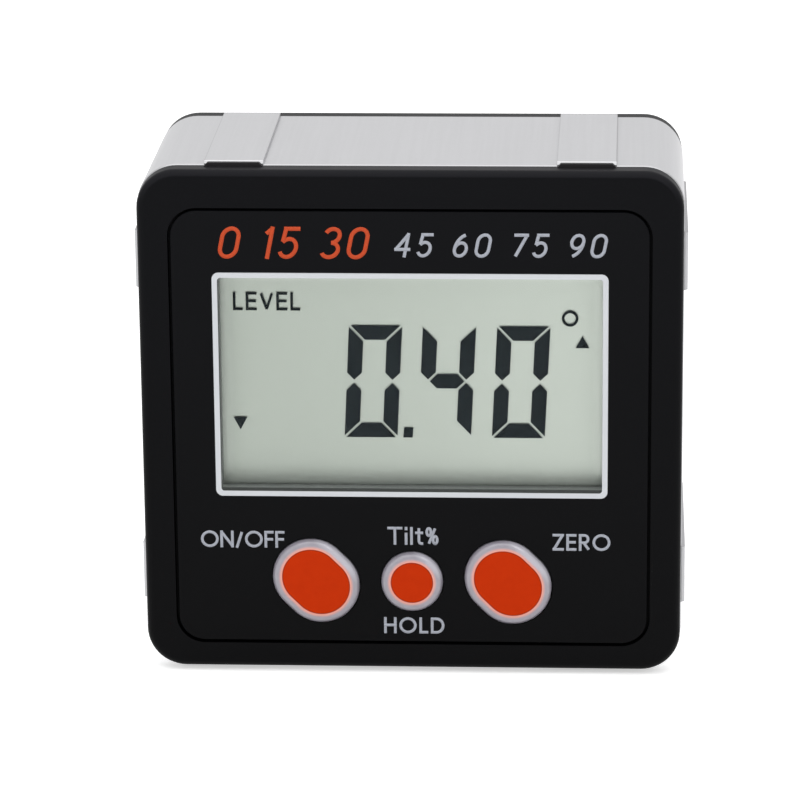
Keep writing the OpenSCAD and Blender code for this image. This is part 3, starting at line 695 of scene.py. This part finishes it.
OVAL = bow(0.5, 0.7, 0.5, 0.3, 0, 180) + bow(0.5, 0.3, 0.5, 0.3, 180, 360) + [(1, 0.7)]
SIX = [bow(0.5, 0.31, 0.5, 0.31, 0, 360, 36), bow(0.98, 0.33, 0.98, 0.68, 175, 105)]
LETTERS = {
    "D": (0.80, [[(0, 0), (0, 1)], [(0, 1), *bow(0.38, 0.5, 0.62, 0.5, 90, -90), (0, 0)]]),
    "E": (0.58, [[(0, 0), (0, 1)], [(0, 1), (1, 1)], [(0, 0.51), (0.92, 0.51)], [(0, 0), (1, 0)]]),
    "F": (0.53, [[(0, 0), (0, 1)], [(0, 1), (1, 1)], [(0, 0.5), (0.92, 0.5)]]),
    "H": (0.74, [[(0, 0), (0, 1)], [(1, 0), (1, 1)], [(0, 0.52), (1, 0.52)]]),
    "L": (0.52, [[(0, 0), (0, 1)], [(0, 0), (1, 0)]]),
    "N": (0.77, [[(0, 0), (0, 1)], [(0, 1), (1, 0)], [(1, 0), (1, 1)]]),
    "O": (1.02, [bow(0.5, 0.5, 0.5, 0.5, 0, 360, 48)]),
    "R": (0.64, [[(0, 0), (0, 1)], [(0, 1), *bow(0.5, 0.74, 0.42, 0.26, 90, -90), (0, 0.48)],
                 [(0.42, 0.48), (1, 0)]]),
    "T": (0.80, [[(0, 1), (1, 1)], [(0.5, 1), (0.5, 0)]]),
    "V": (0.72, [[(0, 1), (0.5, 0)], [(0.5, 0), (1, 1)]]),
    "Z": (0.64, [[(0, 1), (1, 1)], [(1, 1), (0, 0)], [(0, 0), (1, 0)]]),
    "i": (0.18, [[(0.5, 0), (0.5, 0.62)], [(0.5, 0.96), (0.5, 1)]]),
    "l": (0.18, [[(0.5, 0), (0.5, 1)]]),
    "t": (0.44, [[(0.42, 0.92), (0.42, 0.2), *bow(0.8, 0.2, 0.38, 0.2, 180, 270, 8), (0.95, 0)],
                 [(0, 0.7), (0.95, 0.7)]]),
    "%": (0.70, [bow(0.2, 0.76, 0.2, 0.24, 0, 360), bow(0.8, 0.24, 0.2, 0.24, 0, 360),
                 [(0.2, 0), (0.8, 1)]]),
    "/": (0.46, [[(0, -0.12), (1, 1)]]),
    "0": (0.62, [OVAL]),
    "1": (0.32, [[(0, 0.82), (0.8, 1)], [(0.8, 1), (0.8, 0)]]),
    "3": (0.58, [bow(0.46, 0.755, 0.48, 0.245, 155, -90), bow(0.46, 0.255, 0.54, 0.255, 90, -155)]),
    "4": (0.64, [[(0.76, 0), (0.76, 1)], [(0.76, 1), (0, 0.3)], [(0, 0.3), (1, 0.3)]]),
    "5": (0.58, [[(0.92, 1), (0.12, 1)], [(0.12, 1), (0.06, 0.54)],
                 bow(0.46, 0.32, 0.54, 0.32, 140, -155)]),
    "6": (0.60, SIX),
    "7": (0.58, [[(0, 1), (1, 1)], [(1, 1), (0.32, 0)]]),
    "9": (0.60, [[(1 - x, 1 - y) for x, y in stroke] for stroke in SIX]),
    " ": (0.30, []),
}
print("letters drawn", len(LETTERS))

# %% Words from letters
SAME = 1e-9


def squared(stroke, reach):
    """A stroke made longer at its upright or level ends, so that strokes meet squarely."""
    if stroke[0] == stroke[-1]:
        return stroke
    longer = list(stroke)
    for end, inner in ((0, 1), (-1, -2)):
        (x, y), (u, v) = stroke[end], stroke[inner]
        if abs(x - u) < SAME or abs(y - v) < SAME:
            size = math.hypot(x - u, y - v)
            longer[end] = (x + (x - u) / size * reach, y + (y - v) / size * reach)
    return longer


def line_of_letters(words, left, right, foot, height, pen, slant=0.0):
    """Strokes of a word in mm, spread so that it fills the space from left to right."""
    widths = [LETTERS[sign][0] * height for sign in words]
    space = (right - left - slant * height - sum(widths)) / max(len(words) - 1, 1)
    strokes = []
    for sign, width in zip(words, widths):
        for stroke in LETTERS[sign][1]:
            drawn = [
                (left + pen / 2 + x * (width - pen), pen / 2 + y * (height - pen))
                for x, y in stroke
            ]
            drawn = squared(drawn, pen / 2)
            strokes.append([(x + slant * z, foot + z) for x, z in drawn])
        left += width + space
    return strokes


# %% [markdown]
# The pen is a Geometry Nodes tree: edges become curves, a flat rectangle is swept along them, and
# its normals stay upright so that the print never twists. Its inputs are the width and thickness
# of the line and the ink. The result is taken as a plain mesh and turned up to the face.

# %% Tree that sweeps a flat profile along strokes
def pen_tree():
    tree = bpy.data.node_groups.new("flat_pen", "GeometryNodeTree")
    for name, kind in (("Strokes", "NodeSocketGeometry"), ("Width", "NodeSocketFloat"),
                       ("Thickness", "NodeSocketFloat"), ("Ink", "NodeSocketMaterial")):
        tree.interface.new_socket(name, in_out="INPUT", socket_type=kind)
    tree.interface.new_socket("Print", in_out="OUTPUT", socket_type="NodeSocketGeometry")
    kinds = ("NodeGroupInput", "GeometryNodeMeshToCurve", "GeometryNodeSetCurveNormal",
             "GeometryNodeCurvePrimitiveQuadrilateral", "GeometryNodeCurveToMesh",
             "GeometryNodeRealizeInstances", "GeometryNodeSetMaterial", "NodeGroupOutput")
    given, curves, upright, profile, sweep, real, ink, result = (
        tree.nodes.new(kind) for kind in kinds
    )
    upright.mode = "Z_UP"
    sweep.inputs["Fill Caps"].default_value = True
    for start, end in (
        (given.outputs["Strokes"], curves.inputs[0]),
        (curves.outputs[0], upright.inputs[0]),
        (upright.outputs[0], sweep.inputs["Curve"]),
        (given.outputs["Width"], profile.inputs["Width"]),
        (given.outputs["Thickness"], profile.inputs["Height"]),
        (profile.outputs[0], sweep.inputs["Profile Curve"]),
        (sweep.outputs[0], real.inputs[0]),
        (real.outputs[0], ink.inputs["Geometry"]),
        (given.outputs["Ink"], ink.inputs["Material"]),
        (ink.outputs[0], result.inputs[0]),
    ):
        tree.links.new(start, end)
    return tree


FLAT_PEN = pen_tree()
print("pen tree with", len(FLAT_PEN.nodes), "nodes")

# %% Prints from strokes
# Strokes that cross lie a little above each other, because faces in one plane would flicker.
LIFT = 0.004
LIFTS = 5


def grown(name, mesh, tree, settings):
    """The plain mesh that a Geometry Nodes tree makes of a starting mesh."""
    seed = bpy.data.objects.new(name + "_seed", mesh)
    bpy.context.scene.collection.objects.link(seed)
    modifier = seed.modifiers.new("nodes", "NODES")
    modifier.node_group = tree
    for item in tree.interface.items_tree:
        if item.in_out == "INPUT" and item.name in settings:
            modifier[item.identifier] = settings[item.name]
    depsgraph = bpy.context.evaluated_depsgraph_get()
    plain = bpy.data.meshes.new_from_object(seed.evaluated_get(depsgraph))
    seed.modifiers.remove(modifier)
    bpy.data.objects.remove(seed)
    plain.name = name
    return plain


def printed(name, strokes, pen, thickness, y, ink, body):
    """Strokes in mm on the face as a thin print whose middle lies at y."""
    points, edges = [], []
    for number, stroke in enumerate(strokes):
        ring = stroke[0] == stroke[-1]
        start = len(points)
        lift = (number % LIFTS) * LIFT
        drawn = stroke[:-1] if ring else stroke
        points += [(x * MM, (z + cover_foot) * MM, lift * MM) for x, z in drawn]
        edges += [(start + i, start + i + 1) for i in range(len(drawn) - 1)]
        if ring:
            edges.append((start + len(drawn) - 1, start))
    mesh = bpy.data.meshes.new(name + "_strokes")
    mesh.from_pydata(points, edges, [])
    sizes = {"Width": pen * MM, "Thickness": thickness * MM, "Ink": ink}
    swept = grown(name, mesh, FLAT_PEN, sizes)
    swept.transform(Matrix.Translation((0, y, 0)) @ Matrix.Rotation(math.radians(90), 4, "X"))
    return piece(name, swept, ink, body)


# %% [markdown]
# The words are screen printed on the black panel in a greyish white ink, and the degree numbers
# in orange and white. Ink is never quite even, so a fine noise varies its tone and its gloss.

# %% Printing on the face
def ink_finish(name, color):
    finish = Finish(name)
    mottle = finish.noise(2200, 3)
    return finish.surface(
        Base_Color=finish.blend(mottle, tinted(color, 0.85), tinted(color, 1.15)),
        Roughness=0.45 + 0.2 * mottle,
        Specular_IOR_Level=0.25,
        Normal=finish.bump(mottle, 0.004 * MM),
    )


white_ink = ink_finish("white_ink", shade(172, 176, 186))
orange_ink = ink_finish("orange_ink", shade(200, 74, 34))
face_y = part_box("face_panel")[0].y
PRINT = 0.03
PEN = 0.31
SIGN_PEN = 0.28
SLANT = 0.2
# Each word's left, right, foot and height in mm, and the pen of each row of numbers.
KEY_WORDS = (
    ("ON/OFF", -23.65, -14.25, 14.28, 1.97),
    ("HOLD", -3.2, 3.6, 4.25, 1.92),
    ("ZERO", 15.72, 22.17, 14.22, 1.97),
    ("Tilt%", -2.72, 3.0, 14.76, 2.1),
)
SCALE_LOW = ("0 15 30", -21.25, -4.1, 47.7, 3.65, 0.46)
SCALE_HIGH = ("45 60 75 90", -1.83, 21.88, 47.95, 2.75, 0.36)
LEVEL_WORD = ("LEVEL", -19.79, -12.32, 41.0, 2.08, SIGN_PEN)
DEGREE_RING = bow(17.56, 40.24, 0.77, 0.77, 0, 360, 32)

words = [stroke for word in KEY_WORDS for stroke in line_of_letters(*word, PEN)]
printed("key_words", words, PEN, PRINT, face_y, white_ink, BODY)
for name, row, ink in (("scale_low", SCALE_LOW, orange_ink), ("scale_high", SCALE_HIGH, white_ink)):
    printed(name, line_of_letters(*row, SLANT), row[-1], PRINT, face_y, ink, BODY)
level_sign = line_of_letters(*LEVEL_WORD) + [DEGREE_RING]
sign_y = figure_y - FIGURE / 2 * MM
printed("display_words", level_sign, SIGN_PEN, FIGURE, sign_y, crystal_dark, BODY)

# %% [markdown]
# Each key is a cap of milky plastic with an orange field printed on its top. The field has the
# outline of the cap, drawn in, so the distance from the middle line of the cap is the mask. The
# ink is darker along its edge, and beside it the plastic glows pink. Ink is matt and plastic is
# not, so the mask mixes two surfaces. A broad bump makes the rim fall away like the shoulder of a
# moulding, so that it catches the lamp, and its upper right carries a paler painted highlight.

# %% Keys
KEY_TILT = math.radians(-45)
OBLONG_HALF = 0.78 * MM
OBLONG_INK = 3.26 * MM
ROUND_INK = 2.38 * MM
RIM = 0.95 * MM
RIM_DROP = 0.2 * MM
EDGE_LINE = 0.06 * MM
GLOW = 0.45 * MM


def key_cap(name, node, half, ink_r):
    low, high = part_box(node)
    middle = (low + high) / 2
    cap = Finish(name)
    x, _, z = cap.axes()
    aside, up = x - middle.x, z - middle.z
    along = math.cos(KEY_TILT) * aside + math.sin(KEY_TILT) * up
    across = math.cos(KEY_TILT) * up - math.sin(KEY_TILT) * aside
    past_end = (abs(along) - half).at_least(0)
    reach = (past_end * past_end + across * across).root()
    ink = 1 - reach.rise(ink_r - SOFT, ink_r + SOFT)
    ink_edge = 1 - abs(reach - (ink_r - EDGE_LINE)).rise(0.6 * SOFT, 2 * SOFT)
    glow = 1 - reach.rise(ink_r + SOFT, ink_r + GLOW)
    past_ink = ((reach - ink_r) / RIM).at_least(0)
    haze = cap.noise(900, 3)
    pits = cap.noise(2500, 2)
    milky = cap.blend(haze, shade(146, 141, 151), shade(168, 164, 175))
    # Painted highlight: the upper right of the rim is painted paler, where it would catch the lamp.
    painted_gleam = (across / (ink_r + RIM)).rise(0.7, 0.95)
    milky = cap.blend(0.6 * painted_gleam, milky, shade(212, 210, 220))
    rim = cap.blend(glow, milky, shade(238, 156, 138))
    orange = cap.blend(haze, shade(196, 49, 6), shade(207, 55, 8))
    field = cap.blend(0.6 * ink_edge, orange, shade(120, 44, 14))
    plastic = cap.shader(
        Base_Color=rim,
        Roughness=0.1 + 0.1 * haze,
        Specular_IOR_Level=1.0,
        Normal=cap.bump(0.005 * MM * pits - RIM_DROP * past_ink * past_ink, 1.0),
    )
    inked = cap.shader(
        Base_Color=field,
        Roughness=0.4 + 0.1 * haze,
        Specular_IOR_Level=0.04,
        Normal=cap.bump(pits, 0.004 * MM),
    )
    both = cap.node("ShaderNodeMixShader", sockets={0: ink, 1: plastic, 2: inked})
    dress(cap.ends_in(both), node)


key_cap("power_key_cap", "power_key", OBLONG_HALF, OBLONG_INK)
key_cap("zero_key_cap", "zero_key", OBLONG_HALF, OBLONG_INK)
key_cap("hold_key_cap", "hold_key", 0.0, ROUND_INK)

# %% [markdown]
# The rest is seen when the battery door is open or the gauge is taken apart: cells, contacts and
# springs, screws, the circuit board with what is soldered to it, and the foam round the display.
# Each gets the finish of its real material from a few shared recipes. Foam, rubber and moulded
# plastic are one recipe: a fine grain that varies tone, gloss and height together.

# %% Foam, rubber and small plastics
def soft_matte(name, color, grain, depth, roughness, gloss):
    finish = Finish(name)
    cells = finish.noise(grain, 4)
    return finish.surface(
        Base_Color=finish.blend(cells, tinted(color, 0.75), tinted(color, 1.25)),
        Roughness=roughness - 0.1 + 0.15 * cells,
        Specular_IOR_Level=gloss,
        Normal=finish.bump(cells, depth),
    )


# Colour, scale and depth of the grain, roughness and gloss of each, and what it is on.
SOFT_PIECES = {
    "grey_foam": (shade(146, 149, 148), 2500, 0.04 * MM, 0.8, 0.2, "display_gasket"),
    "switch_black": (shade(42, 43, 46), 3000, 0.008 * MM, 0.5, 0.4, "switch_housings"),
    "ivory_plastic": (shade(212, 207, 194), 2500, 0.006 * MM, 0.45, 0.45,
                      "power_plunger", "hold_plunger", "zero_plunger"),
    "sensor_black": (shade(56, 57, 61), 4000, 0.006 * MM, 0.6, 0.3, "tilt_sensor"),
    "potting_black": (shade(22, 23, 25), 400, 0.03 * MM, 0.25, 0.5, "processor"),
}
for name, (color, grain, depth, roughness, gloss, *solids) in SOFT_PIECES.items():
    dress(soft_matte(name, color, grain, depth, roughness, gloss), *solids)

# %% [markdown]
# Screws, contacts and magnets are plated steel. The frame's recipe serves them too, with finer
# lines and a smoother skin. The lines run the way each was drawn or ground.

# %% Metals
# Colour, roughness, scale and depth of the lines and their axis, and what it is on.
METALS = {
    "zinc_steel": ((0.52, 0.53, 0.54), 0.34, 5000, 0.003 * MM, 1,
                   "board_screws", "front_screws", "rear_screws"),
    "nickel_plate": ((0.66, 0.65, 0.61), 0.24, 4000, 0.002 * MM, 2, "bridge_contact",
                     "positive_contact", "negative_contact", "contact_springs", "quartz_crystal"),
    "magnet_nickel": ((0.58, 0.57, 0.55), 0.22, 1500, 0.002 * MM, 0, "base_magnets"),
}
for name, (color, roughness, scale, depth, along, *solids) in METALS.items():
    dress(satin_metal(Finish(name), color, roughness, scale, depth, along), *solids)

# %% [markdown]
# The board is glass cloth under green resist, with copper tracks that show as paler ridges. The
# strips that carry the display's lines are slices of pale and carbon-black rubber in turn, and a
# chip capacitor is a ceramic block with plated ends. What repeats along X is a zigzag of X.

# %% Circuit board, contact strips and capacitors
TRACE_PITCH = 1.27 * MM
TRACE = (0.18 * MM, 0.24 * MM)
WANDER = 4 * MM
SLICE = 0.25 * MM
CARBON = (0.1 * MM, 0.14 * MM)
CHIP_HALF = 1.0 * MM
CERAMIC = (0.55 * MM, 0.6 * MM)

board = Finish("green_board")
wander = board.noise(260, 2)
lanes = (board.axes()[0] + WANDER * wander).zigzag(TRACE_PITCH / 2)
copper = 1 - lanes.rise(*TRACE)
weave = board.noise(1400, 3)
resist = board.blend(weave, shade(18, 84, 48), shade(26, 100, 58))
dress(board.surface(
    Base_Color=board.blend(0.6 * copper, resist, shade(44, 130, 70)),
    Roughness=0.32 + 0.12 * weave,
    Normal=board.bump(copper + 0.2 * weave, 0.02 * MM),
), "circuit_board")

strip = Finish("striped_elastomer")
carbon = strip.axes()[0].zigzag(SLICE).rise(*CARBON)
dress(strip.surface(
    Base_Color=strip.blend(carbon, shade(216, 160, 170), shade(40, 38, 42)),
    Roughness=0.6 + 0.15 * strip.noise(1500, 2),
    Specular_IOR_Level=0.3,
), "contact_strips")

chips = Finish("capacitor_ends")
row_low, row_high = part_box("chip_capacitors")
body_out = abs(chips.axes()[0] - (row_low.x + row_high.x) / 2)
chip_middle = (row_high.x - row_low.x) / 2 - CHIP_HALF
plated = abs(body_out - chip_middle).rise(*CERAMIC)
dress(chips.surface(
    Base_Color=chips.blend(plated, shade(172, 138, 96), shade(200, 200, 200)),
    Metallic=plated,
    Roughness=0.55 - 0.2 * plated + 0.1 * chips.noise(2000, 2),
), "chip_capacitors")

# %% [markdown]
# A battery cell wears a printed sleeve with a coloured band at its positive end and bare steel at
# both tips. All of that follows the length of the cell, so masks along X paint it. The plus and the
# minus on the side towards the door are bars, where a mask along the cell meets one across it.

# %% Battery cells
BAND = 9.0 * MM
TIP = 1.6 * MM
FOOT = 0.6 * MM
MARK = 5.4 * MM
MARK_HALF = 1.2 * MM
MARK_PEN = 0.22 * MM


def cell_sleeve(name, node, facing):
    low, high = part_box(node)
    middle = (low + high) / 2
    length = high.x - low.x
    sleeve = Finish(name)
    x, y, z = sleeve.axes()
    from_button = (high.x - x) if facing > 0 else (x - low.x)
    band = 1 - from_button.rise(BAND, BAND + SOFT)
    steel_end = 1 - from_button.rise(TIP, TIP + SOFT)
    bare = steel_end.at_least(from_button.rise(length - FOOT, length - FOOT + SOFT))
    outside = y.rise(middle.y, middle.y + 10 * SOFT)

    def bar(spot, long, across):
        inside_long = 1 - abs(from_button - spot).rise(long, long + SOFT)
        inside_across = 1 - abs(z - middle.z).rise(across, across + SOFT)
        return inside_long * inside_across * outside

    plus = bar(MARK, MARK_HALF, MARK_PEN).at_least(bar(MARK, MARK_PEN, MARK_HALF))
    marks = plus.at_least(bar(length - MARK, MARK_PEN, MARK_HALF))
    scuff = sleeve.noise(500, 4, sleeve.stretched((0.15, 1, 1)))
    film = sleeve.blend(scuff, shade(38, 42, 48), shade(52, 57, 64))
    banded = sleeve.blend(band, film, shade(196, 120, 52))
    marked = sleeve.blend(marks, banded, shade(226, 222, 212))
    dress(sleeve.surface(
        Base_Color=sleeve.blend(bare, marked, shade(196, 196, 194)),
        Metallic=0.25 + 0.75 * bare,
        Roughness=0.26 + 0.12 * scuff,
        Normal=sleeve.bump(scuff, 0.006 * MM),
    ), node)


cell_sleeve("upper_sleeve", "upper_cell", 1)
cell_sleeve("lower_sleeve", "lower_cell", -1)
